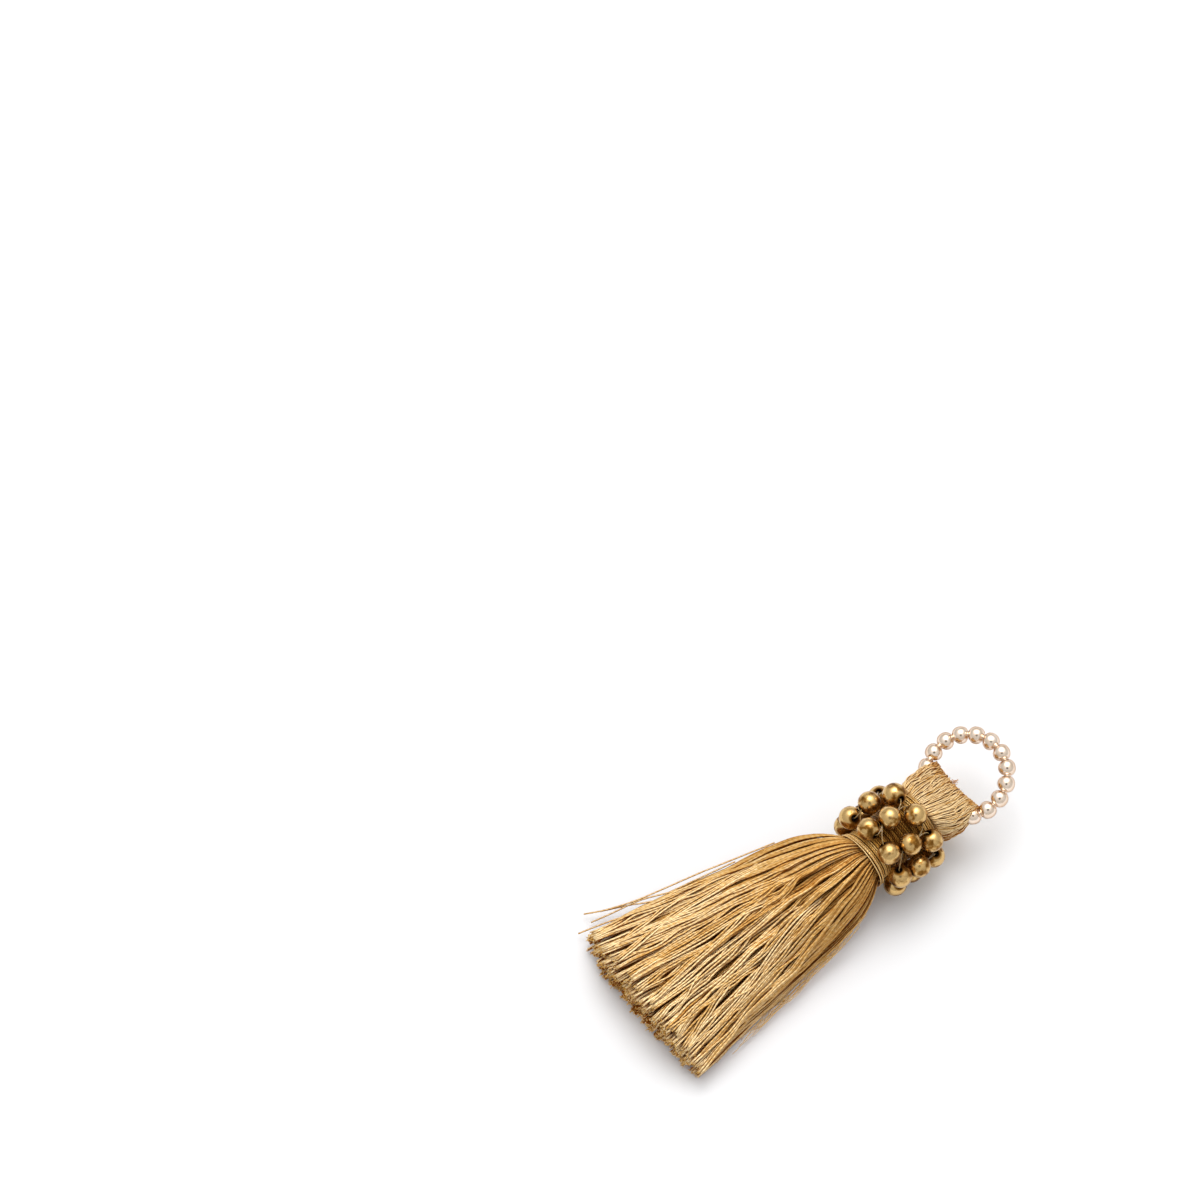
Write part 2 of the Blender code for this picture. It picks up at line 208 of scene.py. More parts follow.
BAND_ACROSS = 96  # threads side by side over the ring, and down its sides
BAND_LAYERS = (0.0, 0.2)  # depth of each layer of threads
BAND_THREAD_RADIUS = 0.1
BAND_DRIFT = ((0.7, 0.3, 0.13), (0.014, 0.011, 0.006))
BAND_DIP = ((0.35, 0.15, 0.08), (0.055, 0.055, 0.045))
BAND_CORNERS = 0.4  # power of the section's cosine and sine: 1 is round
BAND_STEPS = 60
BAND_BACK = 4.7  # where the band leaves the beads
BAND_FRONT = 11.35
BAND_FOLD = 1.9  # length in which the fold rounds over the ring
BAND_BOW = 0.02  # how the fold curves round the ring, per mm squared
BAND_SHIFT = -0.35  # its middle, to the side

WRAP_PITCH = 0.25
WRAP_RADIUS = 3.6  # of the winding, at its thread's middle
WRAP_THREAD_RADIUS = 0.135
WRAP_ENDS = (4.9, -4.6)  # along, where the winding starts and ends
PROUD_TURNS = (
    # along, radius, tilt to the side, tilt up, thread radius, tint
    (-4.62, 3.90, 0.08, -0.05, 0.09, 0.45),
    (-4.82, 3.96, 0.00, 0.06, 0.1, 0.9),
    (-5.02, 4.02, -0.07, 0.11, 0.095, 0.6),
    (-5.22, 4.08, 0.08, 0.02, 0.1, 0.85),
    (4.5, 3.86, 0.05, 0.04, 0.09, 0.7),
    (4.72, 3.95, -0.06, 0.05, 0.08, 0.6),
)
BINDING_LAY = 0.4


def box_middle(node):
    """The middle of a solid's box, in mm."""
    low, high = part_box(node)
    return np.array((low + high) / 2) / MM


COLLAR = box_middle("neck_binding") * (0, 1, 1) + box_middle("bead_middle_1") * (1, 0, 0)
AXIS_HEIGHT = COLLAR[2]

SKIRT_SECTIONS = (
    # down, side, half width, underside, top, settled (0 is a round bundle, 1 lies flat)
    (4.4, 0.0, 3.2, AXIS_HEIGHT - 3.2, AXIS_HEIGHT + 3.2, 0.0),
    (5.4, 0.3, 4.1, AXIS_HEIGHT - 3.9, AXIS_HEIGHT + 3.9, 0.0),
    (6.4, 0.6, 5.1, AXIS_HEIGHT - 4.6, AXIS_HEIGHT + 4.4, 0.02),
    (8.6, 1.2, 6.8, 1.5, 11.5, 0.25),
    (12.6, 2.0, 8.3, 0.4, 11.0, 0.65),
    (18.5, 2.8, 9.5, 0.0, 9.9, 1.0),
    (28.0, 3.7, 11.3, 0.0, 8.5, 1.0),
    (SKIRT_LENGTH, 4.5, 12.9, 0.0, 7.2, 1.0),
)

BAND_SECTIONS = (
    # along, half width, half height
    (4.4, 3.6, 3.5),
    (5.2, 4.1, 3.75),
    (6.2, 4.6, 3.6),
    (7.6, 4.9, 3.1),
    (9.4, 4.9, 2.5),
    (10.5, 4.7, 2.2),
    (12.0, 4.4, 2.0),
)

CORE_SECTIONS = (
    # along, half width, half height, squareness, bow per mm squared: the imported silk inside
    (-6.6, 3.3, 3.3, 2.0, 0.0),
    (-5.2, 3.0, 3.0, 2.0, 0.0),
    (-4.0, 3.2, 3.2, 2.0, 0.0),
    (4.2, 3.3, 3.3, 2.0, 0.0),
    (5.2, 3.7, 3.2, 2.1, 0.0),
    (6.0, 4.2, 3.0, 2.3, 0.03),
    (6.7, 4.35, 2.4, 2.6, 0.09),
)


# ---- colour and nodes

def linear(hex_colour):
    """An sRGB hex colour as linear red, green, blue and alpha."""
    parts = [int(hex_colour[i:i + 2], 16) / 255 for i in (1, 3, 5)]
    return (*[p / 12.92 if p <= 0.04045 else ((p + 0.055) / 1.055) ** 2.4 for p in parts], 1.0)


def set_inputs(node, inputs):
    """Set each input to a value, or link it to an output of another node."""
    for socket, value in dict(inputs).items():
        if isinstance(value, bpy.types.NodeSocket):
            node.id_data.links.new(value, node.inputs[socket])
        else:
            node.inputs[socket].default_value = value


def add_node(tree, kind, inputs=(), stops=(), **settings):
    """Add a shader node. A colour ramp also has stops, each a place and a hex colour."""
    node = tree.nodes.new("ShaderNode" + kind)
    for key, value in settings.items():
        setattr(node, key, value)
    if stops:
        elements = node.color_ramp.elements
        while len(elements) < len(stops):
            elements.new(0.5)
        for element, (place, colour) in zip(elements, stops):
            element.position, element.color = place, linear(colour)
    set_inputs(node, inputs)
    return node


def new_material(name, inputs):
    """A Principled material with values set on the shader's own sockets."""
    material = bpy.data.materials.new(name)
    material.use_nodes = True
    shader = material.node_tree.nodes["Principled BSDF"]
    set_inputs(shader, inputs)
    return material, material.node_tree, shader


def silk_material(name, side_shade, dark, middle, pale, lay, roughness):
    """Degummed filament silk, twisted: a long soft gleam, and a fine diagonal rib.

    The thread's own UV is turns about it and mm along it. The rib is a wave on both: it bumps
    the surface, and paints shade in its hollows and a highlight on its crests. The sides, which
    lie against the next threads, are darker: painted shade between threads. Each thread has its
    own tone, which also carries the painted shade and light set where it is made, and the dye is
    a little uneven along it. The small metallic share gives silk's coloured gleam.
    """
    material, tree, shader = new_material(name, {
        "Roughness": roughness, "Metallic": 0.3, "Specular IOR Level": 0.15,
        "Specular Tint": linear("#FFE2B4")})
    uv = add_node(tree, "UVMap", uv_map="thread")
    parts = add_node(tree, "SeparateXYZ", {0: uv.outputs[0]})
    turn, angle = parts.outputs["X"], parts.outputs["Y"]
    for operation, number in (("DIVIDE", lay), ("ADD", turn), ("MULTIPLY", math.tau)):
        angle = add_node(tree, "Math", {0: angle, 1: number}, operation=operation).outputs[0]
    rib = add_node(tree, "Math", {0: angle}, operation="SINE")
    rib = add_node(tree, "MapRange", {"Value": rib.outputs[0], "From Min": -1.0})
    # Painted side shade: the colour darkens towards the thread's sides, away from its outward top.
    around = add_node(tree, "Math", {0: turn, 1: math.tau}, operation="MULTIPLY")
    outward = add_node(tree, "Math", {0: around.outputs[0]}, operation="SINE")
    top = add_node(tree, "MapRange", {"Value": outward.outputs[0], "From Min": SIDE_SHADE_ENDS,
                                      "From Max": 1.0}, interpolation_type="SMOOTHSTEP")
    place = add_node(tree, "TexCoord")
    dye = add_node(tree, "TexNoise", {"Vector": place.outputs["Object"],
                                      "Scale": 1 / (DYE_PATCH * MM), "Detail": 3.0})
    tone_and_painted_shading = add_node(tree, "Attribute", attribute_name="tone_and_painted_shading")
    # The ramp's place: tone, uneven dye, and the rib's painted shade in its hollows and painted
    # highlight on its crests.
    shade = add_node(tree, "Math", {0: tone_and_painted_shading.outputs["Fac"], 1: (DYE_UNEVEN + RIB_SHADE) / 2},
                     operation="SUBTRACT")
    for pattern, amount in ((dye, DYE_UNEVEN), (rib, RIB_SHADE)):
        shade = add_node(tree, "Math", {0: pattern.outputs[0], 1: amount, 2: shade.outputs[0]},
                         operation="MULTIPLY_ADD")
    colour = add_node(tree, "ValToRGB", {"Fac": shade.outputs[0]},
                      stops=((0.0, dark), (0.5, middle), (1.0, pale)))
    side_shaded = add_node(tree, "Mix", {"Factor": top.outputs[0], 6: linear(side_shade),
                                     7: colour.outputs[0]}, data_type="RGBA")
    bump = add_node(tree, "Bump", {"Height": rib.outputs[0], "Distance": RIB_HEIGHT * MM,
                                   "Strength": 0.6})
    set_inputs(shader, {"Base Color": side_shaded.outputs[2], "Normal": bump.outputs[0]})
    return material


def bronze_material():
    """Antique bronze plate on turned brass: buffed bright, left brown in the hollows.

    The patina gathers about each hole, from the bead's own "lip" value, and in faint clouds.
    """
    material, tree, shader = new_material("antique_bronze_plate", {"Metallic": 1.0})
    lip = add_node(tree, "Attribute", attribute_name="lip")
    place = add_node(tree, "TexCoord")
    clouds = add_node(tree, "TexNoise", {"Vector": place.outputs["Object"],
                                         "Scale": 1 / (1.2 * MM), "Detail": 5.0})
    grime = add_node(tree, "MapRange", {"Value": clouds.outputs["Fac"], "From Min": 0.48,
                                        "From Max": 0.68, "To Max": 0.75})
    patina = add_node(tree, "Math", {0: grime.outputs[0], 1: lip.outputs["Fac"]},
                      operation="MAXIMUM")
    colour = add_node(tree, "ValToRGB", {"Fac": patina.outputs[0]},
                      stops=((0.0, "#D4B074"), (0.4, "#8E6228"), (1.0, "#241006")))
    rough = add_node(tree, "MapRange", {"Value": patina.outputs[0], "To Min": 0.24,
                                        "To Max": 0.55})
    scratches = add_node(tree, "TexNoise", {"Vector": place.outputs["Object"],
                                            "Scale": 1 / (0.22 * MM), "Detail": 2.0})
    bump = add_node(tree, "Bump", {"Height": scratches.outputs["Fac"], "Distance": 0.012 * MM,
                                   "Strength": 0.5})
    set_inputs(shader, {"Base Color": colour.outputs[0], "Roughness": rough.outputs[0],
                        "Normal": bump.outputs[0]})
    return material


def pale_gold_material():
    """Rose gold plate, bright polished: nearly white where it faces the light."""
    material, tree, shader = new_material("pale_gold_plate", {
        "Metallic": 1.0, "Specular Tint": linear("#B08A68")})
    place = add_node(tree, "TexCoord")
    wear = add_node(tree, "TexNoise", {"Vector": place.outputs["Object"],
                                       "Scale": 1 / (0.9 * MM), "Detail": 3.0})
    colour = add_node(tree, "ValToRGB", {"Fac": wear.outputs["Fac"]},
                      stops=((0.3, "#EAD2BA"), (0.7, "#F8E8D8")))
    rough = add_node(tree, "MapRange", {"Value": wear.outputs["Fac"], "To Min": 0.12,
                                        "To Max": 0.22})
    set_inputs(shader, {"Base Color": colour.outputs[0], "Roughness": rough.outputs[0]})
    return material


def nylon_material():
    """Clear monofilament nylon: a glassy line that catches the light in the beads' holes."""
    material, tree, shader = new_material("clear_nylon_line", {
        "IOR": 1.53, "Roughness": 0.06, "Transmission Weight": 0.5})
    place = add_node(tree, "TexCoord")
    haze = add_node(tree, "TexNoise", {"Vector": place.outputs["Object"],
                                       "Scale": 1 / (1.0 * MM)})
    colour = add_node(tree, "ValToRGB", {"Fac": haze.outputs["Fac"]},
                      stops=((0.3, "#8E6A34"), (0.7, "#C9A668")))
    set_inputs(shader, {"Base Color": colour.outputs[0]})
    return material


# ---- meshes from arrays

def make_piece(name, points, faces, material, replaced, values=(), uv=None):
    """Put arrays into a mesh: points in mm, faces as arrays of equal-sided polygons.

    values are named numbers for each point, and uv a pair for each corner of each face.
    """
    mesh = bpy.data.meshes.new(name)
    corners = np.concatenate([f.ravel() for f in faces])
    sizes = np.concatenate([np.full(len(f), f.shape[1]) for f in faces])
    mesh.vertices.add(len(points))
    mesh.vertices.foreach_set("co", (points * MM).ravel())
    mesh.loops.add(len(corners))
    mesh.loops.foreach_set("vertex_index", corners.astype(np.int32))
    mesh.polygons.add(len(sizes))
    mesh.polygons.foreach_set("loop_start", np.concatenate(([0], np.cumsum(sizes)[:-1])))
    mesh.polygons.foreach_set("use_smooth", np.ones(len(sizes), bool))
    mesh.update(calc_edges=True)
    for key, numbers in dict(values).items():
        layer = mesh.attributes.new(key, "FLOAT", "POINT")
        layer.data.foreach_set("value", numbers.astype(np.float32).ravel())
    if uv is not None:
        layer = mesh.uv_layers.new(name="thread")
        layer.data.foreach_set("uv", uv.astype(np.float32).ravel())
    mesh.materials.append(material)
    piece = bpy.data.objects.new(name, mesh)
    bpy.context.scene.collection.objects.link(piece)
    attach(piece, "root")
    if replaced:
        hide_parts(*replaced)


def unit(vectors):
    """The vectors at length one."""
    return vectors / np.maximum(np.linalg.norm(vectors, axis=-1, keepdims=True), 1e-12)


def eased(x):
    """0 below 0, 1 above 1, and three x squared less two x cubed between."""
    x = np.clip(x, 0, 1)
    return x * x * (3 - 2 * x)


def tubes(paths, radii, sides, beside, closed=False):
    """Carry a round section along many paths at once.

    A point is the path's point plus radius times (cosine of the angle times a side vector, plus
    sine times the outward vector, square to it and the path). The side vector is "beside" made
    square to the path. Returns points, faces and uv (turns about the tube, mm along it).
    """
    count, steps, _ = paths.shape
    if closed:
        heading = unit(np.roll(paths, -1, axis=1) - np.roll(paths, 1, axis=1))
    else:
        heading = unit(np.gradient(paths, axis=1))
    beside = np.broadcast_to(beside, paths.shape)
    side = unit(beside - heading * (beside * heading).sum(axis=-1, keepdims=True))
    rise = np.cross(side, heading)
    angle = np.arange(sides) * math.tau / sides
    spoke = (np.cos(angle)[:, None] * side[:, :, None] + np.sin(angle)[:, None] * rise[:, :, None])
    radii = np.broadcast_to(radii, (count, steps))
    points = paths[:, :, None] + radii[:, :, None, None] * spoke
    index = np.arange(count * steps * sides).reshape(count, steps, sides)
    here, there = (index, np.roll(index, -1, axis=1)) if closed else (index[:, :-1], index[:, 1:])
    quads = np.stack((here, there, np.roll(there, -1, 2), np.roll(here, -1, 2)), axis=-1)
    run = np.linalg.norm(np.diff(paths, axis=1, append=paths[:, :1]), axis=-1)
    begin = np.arange(count)[:, None] * 0.618 % 1 * 5
    travelled = np.concatenate((begin, begin + np.cumsum(run, axis=1)), axis=1)
    near, far = travelled[:, :here.shape[1]], travelled[:, 1:here.shape[1] + 1]
    turn, near, far = np.broadcast_arrays(np.arange(sides) / sides, near[..., None],
                                          far[..., None])
    turned = turn + 1 / sides
    uv = np.stack((turn, near, turn, far, turned, far, turned, near), axis=-1)
    faces, uvs = [quads.reshape(-1, 4)], [uv.reshape(-1, 2)]
    if not closed:
        faces.append(np.concatenate((index[:, 0], index[:, -1, ::-1])))
        uvs.append(np.full((2 * count * sides, 2), TOP_OF_THREAD))
    return points.reshape(-1, 3), faces, np.concatenate(uvs)


def thread_piece(name, paths, radii, material, tone_and_painted_shading, replaced=(), sides=5,
                 beside=(0, 1, 0), closed=False):
    """One joined mesh of threads. tone_and_painted_shading is from 0, dark, to 1, pale, at each
    step of each: the silk's tone with any painted shade and light.
    """
    points, faces, uv = tubes(paths, radii, sides, beside, closed)
    tone_and_painted_shading = np.broadcast_to(tone_and_painted_shading, paths.shape[:2])
    values = {"tone_and_painted_shading": np.repeat(tone_and_painted_shading.ravel(), sides)}
    make_piece(name, points, faces, material, replaced, values, uv)


def smooth_between(rows, at):
    """Each column of a table at any place: cubics whose slope at a row is its neighbours'."""
    rows = np.array(rows)
    place, columns = rows[:, 0], rows[:, 1:]
    slopes = np.gradient(columns, place, axis=0)
    i = np.clip(np.searchsorted(place, at) - 1, 0, len(place) - 2)
    width = (place[i + 1] - place[i])[..., None]
    t = np.clip((at - place[i])[..., None] / width, 0, 1.1)
    start, end = columns[i], columns[i + 1]
    found = (start * (2 * t ** 3 - 3 * t ** 2 + 1) + end * (3 * t ** 2 - 2 * t ** 3)
             + width * (slopes[i] * (t ** 3 - 2 * t ** 2 + t) + slopes[i + 1] * (t ** 3 - t ** 2)))
    return np.moveaxis(found, -1, 0)


def scattered(count, shift):
    """Pairs from 0 to 1, spread evenly: multiples of two irrational steps, less the whole."""
    step = 1.32471795724
    n = np.arange(1, count + 1)
    return (shift + np.outer(n, (1 / step, 1 / step ** 2))) % 1


def waves(random, count, share, lengths, sizes):
    """A gentle wander for each thread: sines of a few lengths along it, each with its phase."""
    total = np.zeros((count, len(share)))
    for length, size in zip(lengths, sizes):
        phase = random.uniform(0, math.tau, (count, 1))
        reach = random.normal(0, size, (count, 1))
        total += reach * np.sin(share / length * math.tau + phase)
    return total


# ---- the skirt

def edge_drop(across):
    """How far the top is lowered towards each side: a share that is a power of across."""
    return np.where(across < 0, *EDGE_DROPS) * np.abs(across) ** np.where(across < 0, *EDGE_POWERS)


def across_from_share(share):
    """Where across the heap, -1 to 1, so that threads are as dense at its thin sides."""
    grid = np.linspace(-1, 1, 201)
    filled = np.cumsum(1 - edge_drop(grid))
    return np.interp(share, (filled - filled[0]) / (filled[-1] - filled[0]), grid)


def superellipse(across, up):
    """How far out in the skirt's squarish section: 1 on its outline, 0 in the middle."""
    out = (np.abs(across) ** SQUARENESS + np.abs(up) ** SQUARENESS) ** (1 / SQUARENESS)
    return np.maximum(out, 1e-6)


def fanned(across, up, down, opened):
    """Across and up of each lock on its way down, from its place at the cut end.

    Towards the neck, across shrinks by an exponential of the distance while the lock keeps as
    far out in the section. So the top silk fans out, and the side silk rolls under. The +Y flap
    starts further across still, and what it covers lies lower.
    """
    across, up = across[:, None], up[:, None]
    out = superellipse(across, up).clip(0, 1)
    left = SKIRT_LENGTH - down
    start = np.exp(-(down - 5) / FLAP_SETTLES)
    moved = across * np.exp(-np.where(across < 0, *FAN_RATES) * left)
    edge = FLAP_EDGE * np.exp(-FAN_RATES[0] * left) + FLAP_SHIFT * start
    in_flap = (across < FLAP_EDGE) * np.exp(np.minimum(across - FLAP_EDGE, 0) / 0.3)
    moved = moved + in_flap * eased((up - 0.2) / 0.4) * FLAP_SHIFT * start
    covered = (across >= FLAP_EDGE) * eased((edge - moved) / 0.2 + 0.5) * eased(start * 3)
    moved = moved / opened
    scale = out * (1 - 0.12 * covered) / superellipse(moved, up)
    return moved * scale, up * scale


def parted(across, up, down, opened, half_width):
    """Push the top threads off each parting's middle line.

    The push is a sine squared along the parting and a bell curve away from its line.
    """
    rows = np.arange(len(across))
    for first, last, begin, end, wide in PARTINGS:
        share = (down - first) / (last - first)
        off = (across * opened - begin - (end - begin) * share) * half_width
        side = np.sign(off[rows, np.abs(share - 0.5).argmin(axis=1)])[:, None]
        push = side * wide * np.sin(math.pi * share.clip(0, 1)) ** 2
        push = push * np.exp(-(off / PARTING_REACH) ** 2) * eased((up - 0.42) / 0.4)
        across = across + push / half_width / opened
    return across


def skirt_places(across, up, down):
    """Points of the skirt: a round bundle at the neck that settles to a flat-bottomed heap.

    The heap's -Y half is narrower underneath, by a share that grows evenly on the way down.
    """
    side, half_width, underside, top, settled = smooth_between(SKIRT_SECTIONS, down)
    inner = np.clip(np.stack((across, up)), -1, 1)
    right = across * np.sqrt(1 - inner[1] ** 2 / 2)
    raised = up * np.sqrt(1 - inner[0] ** 2 / 2)
    bundle = (top + underside) / 2 + raised * (top - underside) / 2
    heap = underside + (top - underside) * (up + 1) / 2 * (1 - edge_drop(inner[0]))
    height = bundle + settled * (heap - bundle)
    across = across * (1 - UNDERCUT * eased(across) * (1 - inner[1]) / 2)
    sideways = side - half_width * (right + settled * (across - right))
    return np.stack((COLLAR[0] - down, COLLAR[1] + sideways, height), axis=-1)


def make_skirt(material, cut_material):
    """The cut silk: flat locks of threads that fan, part and end unevenly.

    A thread's way is its lock's place in the section, carried down the fan, plus the lock's and
    its own slow waves, plus its place in the lock turned by the lock's tilt.
    """
    random = np.random.default_rng(3)
    ends = scattered(SKIRT_LOCKS, 0.37)
    lock_across, lock_up = across_from_share(ends[:, 0]) * OUTERMOST, ends[:, 1] * 2 - 1
    lock = np.sort(random.permutation(np.arange(SKIRT_THREADS) % SKIRT_LOCKS))
    lock_size = np.bincount(lock, minlength=SKIRT_LOCKS)
    place = np.arange(SKIRT_THREADS) - (np.cumsum(lock_size) - lock_size)[lock]
    columns = np.ceil(lock_size / 2)[lock]

    share = np.linspace(0, 1, SKIRT_STEPS) ** 1.1  # steps are shorter at the neck
    trim = random.normal(0, TRIM, SKIRT_THREADS) + random.normal(0, LOCK_TRIM, SKIRT_LOCKS)[lock]
    length = SKIRT_LENGTH - SKIRT_ROOT + trim.clip(*TRIM_LIMITS)
    length += np.interp(lock_across, *np.transpose(CUT_OUTLINE))[lock]
    length -= UNDERSIDE_SHORTER * np.clip(-lock_up[lock] * 4 - 3, 0, 1)
    down = SKIRT_ROOT + length[:, None] * share
    _, half_width, underside, top, settled = smooth_between(SKIRT_SECTIONS, down)
    opened = CLOSED + (1 - CLOSED) * settled

    across, up = fanned(lock_across[lock], lock_up[lock], down, opened)
    loosened = eased(share * LOOSENS)
    drift = waves(random, SKIRT_LOCKS, share, *LOCK_DRIFT)[lock]
    lift = waves(random, SKIRT_LOCKS, share, *LOCK_LIFT)[lock]
    drift += waves(random, SKIRT_THREADS, share, *THREAD_DRIFT)
    lift += waves(random, SKIRT_THREADS, share, *THREAD_LIFT)
    is_wild = random.random(SKIRT_THREADS) < WILD_SHARE
    wild = is_wild * random.normal(0, WILD_REACH, SKIRT_THREADS)
    drift, lift = drift * loosened + wild[:, None] * share ** 1.5, lift * loosened

    tilt = random.normal(0, LOCK_TILT, (SKIRT_LOCKS, 1))[lock]
    tilt = tilt + random.normal(0, LOCK_TWIST, (SKIRT_LOCKS, 1))[lock] * share
    packed = np.sqrt(half_width * (top - underside) / ROOMY).clip(0, 1)
    beside = ((place // 2 - (columns - 1) / 2 + (place % 2) / 2) * LOCK_COLUMN)[:, None]
    above = ((place % 2 - 0.5) * LOCK_ROW)[:, None]
    beside = beside + random.normal(0, LOCK_UNEVEN[0], (SKIRT_THREADS, 1))
    above = above + random.normal(0, LOCK_UNEVEN[1], (SKIRT_THREADS, 1))
    cord, in_cord = place // 3, (place % 3 - 1)[:, None]
    side_of_cord = (cord - 0.5)[:, None]
    apart = eased((down - CORDS_PART[0]) / (CORDS_PART[1] - CORDS_PART[0]))
    in_cords = side_of_cord * CORD_PITCH + in_cord * CORD_LAY[0]
    beside = beside * apart + in_cords * (1 - apart)
    in_cords = side_of_cord * CORD_STEP + in_cord * CORD_LAY[1]
    above = above * apart + in_cords * (1 - apart)
    drift += (beside * np.cos(tilt) - above * np.sin(tilt)) * packed
    lift += (beside * np.sin(tilt) + above * np.cos(tilt)) * packed
    uneven = random.normal(0, CORD_UNEVEN, (SKIRT_LOCKS, 2))[lock, cord][:, None]
    lift += uneven * (1 - 0.4 * share)

    across = across + drift * (1 - EDGE_CALM * across ** 2) / half_width / opened
    up = up + 2 * lift / (top - underside)
    across = parted(across, up, down, opened, half_width).clip(-1.01, 1.01)
    up = np.where(up > SOFT_TOP, SOFT_TOP + (up - SOFT_TOP) * 0.6, up).clip(-1, 1.08)
    paths = skirt_places(across, up, down)
    paths[..., 2] = np.maximum(paths[..., 2], THREAD_RADIUS)

    # Painted shade: the buried silk is darker, and so is the silk that the neck holds. Painted
    # light: the cut ends are paler, and so is the silk where the fan is open.
    lock_tint = random.normal(*LOCK_TINT, SKIRT_LOCKS)
    tone_and_painted_shading = lock_tint[lock] + random.normal(0, THREAD_TINT, SKIRT_THREADS)
    buried_shade = eased((0.86 - superellipse(lock_across, lock_up)[lock]) / 0.2)[:, None]
    tip = eased((share - 0.93) / 0.05)
    neck_shade = 1 - eased((down - 5) / 15)
    tone_and_painted_shading = (tone_and_painted_shading[:, None] - BURIED_PAINTED_SHADE * buried_shade * (1 - tip) + TIP_PAINTED_LIGHT * tip
            - NECK_PAINTED_SHADE * neck_shade + OPEN_PAINTED_LIGHT * eased((down - 14) / 14)).clip(0, 1)
    radii = THREAD_RADIUS * (PINCHED + (1 - PINCHED) * packed ** 1.4)
    radii = radii * random.uniform(*THREAD_SIZES, (SKIRT_THREADS, 1))
    # Each thread's pale top, between its painted side shade, faces out from the bundle, turned
    # further up than that at the sides.
    angle = np.arctan2(lock_across, lock_up)[lock, None]
    angle = angle * (0.35 + 0.65 * (angle / math.pi) ** 4)
    beside = np.stack((angle * 0, np.cos(angle), np.sin(angle)), axis=-1)
    order = np.argsort(lock_up[lock], kind="stable").reshape(len(SKIRT_PIECES), -1)
    for name, kept in zip(SKIRT_PIECES, order):
        thread_piece(name, paths[kept], radii[kept], material, tone_and_painted_shading[kept], ("silk_skein",),
                     beside=beside[kept])
    make_fray(cut_material, paths, random)


def make_crossings(material):
    """Ribbons of a few threads that cross the top of the skirt.

    Each is a smooth curve through its points, and eases up from beneath the top.
    """
    random = np.random.default_rng(5)
    share = np.linspace(0, 1, 40)
    paths = []
    for count, *points in CROSSINGS:
        down, across = np.array(points).T
        at = down[0] + (down[-1] - down[0]) * share
        middle = smooth_between(np.column_stack((down, across)), at)[0]
        _, half_width, _, _, settled = smooth_between(SKIRT_SECTIONS, at)
        opened = CLOSED + (1 - CLOSED) * settled
        beside = (np.arange(count) - (count - 1) / 2)[:, None] * RIBBON_SPACING
        beside = beside + waves(random, count, share, (0.5, 0.2), (0.09, 0.04))
        up = RIBBON_RISE[0] + RIBBON_RISE[1] * eased(share / 0.3)
        up = up + waves(random, count, share, (0.6, 0.25), (0.01, 0.01))
        across = middle + beside / half_width
        paths.append(skirt_places(across / opened, up, np.broadcast_to(at, across.shape)))
    paths = np.concatenate(paths)
    tone_and_painted_shading = random.normal(0.7, 0.12, (len(paths), 1)).clip(0, 1)
    thread_piece("skirt_crossing_threads", paths, THREAD_RADIUS * 0.9, material, tone_and_painted_shading)


def make_fray(material, paths, random):
    """The cut ends' fluff: fine filaments leave each thread's tip and part.

    One runs on by its reach, and aside by its reach times the square of the share.
    """
    heading = np.repeat(unit(paths[:, -1] - paths[:, -3]), FRAY_FILAMENTS, axis=0)
    tips = np.repeat(paths[:, -1], FRAY_FILAMENTS, axis=0)
    count = len(tips)
    reach = random.uniform(*FRAY_REACH, (count, 1, 1))
    apart = random.normal(0, 0.3, (count, 3))
    share = np.linspace(0, 1, 4)[None, :, None]
    offset = random.normal(0, THREAD_RADIUS * 0.5, (count, 1, 3))
    line = (tips[:, None] + offset + heading[:, None] * (share * reach - 0.3)
            + apart[:, None] * share ** 2 * reach)
    line[..., 2] = np.maximum(line[..., 2], 0.03)
    tone_and_painted_shading = random.uniform(0.45, 1, (count, 1))
    thread_piece("cut_end_fray", line, FRAY_RADIUS, material, tone_and_painted_shading, sides=3)


def make_strays(material):
    """Single threads that have left the skirt: each a smooth curve through its points."""
    paths = []
    for points in STRAYS:
        rows = np.column_stack((np.linspace(0, 1, len(points)), points))
        paths.append(smooth_between(rows, np.linspace(0, 1, 30)).T)
    paths = np.array(paths) * (-1, 1, 1) + COLLAR * (1, 1, 0)
    thread_piece("stray_threads", paths, STRAY_RADIUS, material, 0.7)


def make_haze(material):
    """Fine loose filaments: low along the -Y edge, and a small tuft on the head's fold.

    The low ones follow the skirt's edge with slow waves. The tuft's lean away and curl by a sine.
    """
    random = np.random.default_rng(31)
    share = np.linspace(0, 1, 26)
    first = random.uniform(9, 25, (HAZE_FILAMENTS, 1))
    down = first + random.uniform(7, 13, (HAZE_FILAMENTS, 1)) * share
    across = random.uniform(0.97, 1.05, (HAZE_FILAMENTS, 1))
    across = across + random.uniform(0, 0.03, (HAZE_FILAMENTS, 1)) * share
    across = across + waves(random, HAZE_FILAMENTS, share, (0.6, 0.25), (0.008, 0.006))
    low = skirt_places(across, random.uniform(-0.9, 0.3, (HAZE_FILAMENTS, 1)) + 0 * down, down)
    low[..., 2] = np.maximum(low[..., 2], 0.06)
    share = share[None, :, None]
    root = COLLAR + TUFT_ROOT + random.normal(0, 0.15, (TUFT_FILAMENTS, 1, 3))
    lean = np.array(TUFT_LEAN) + random.normal(0, 0.2, (TUFT_FILAMENTS, 1, 3))
    curl = random.normal(0, 0.12, (TUFT_FILAMENTS, 1, 3)) * np.sin(share * 5)
    paths = np.concatenate((low, root + lean * share + curl))
    tone_and_painted_shading = random.uniform(0.8, 1.0, (len(paths), 1))
    thread_piece("loose_filaments", paths, HAZE_RADIUS, material, tone_and_painted_shading, sides=4)


# ---- head band and neck

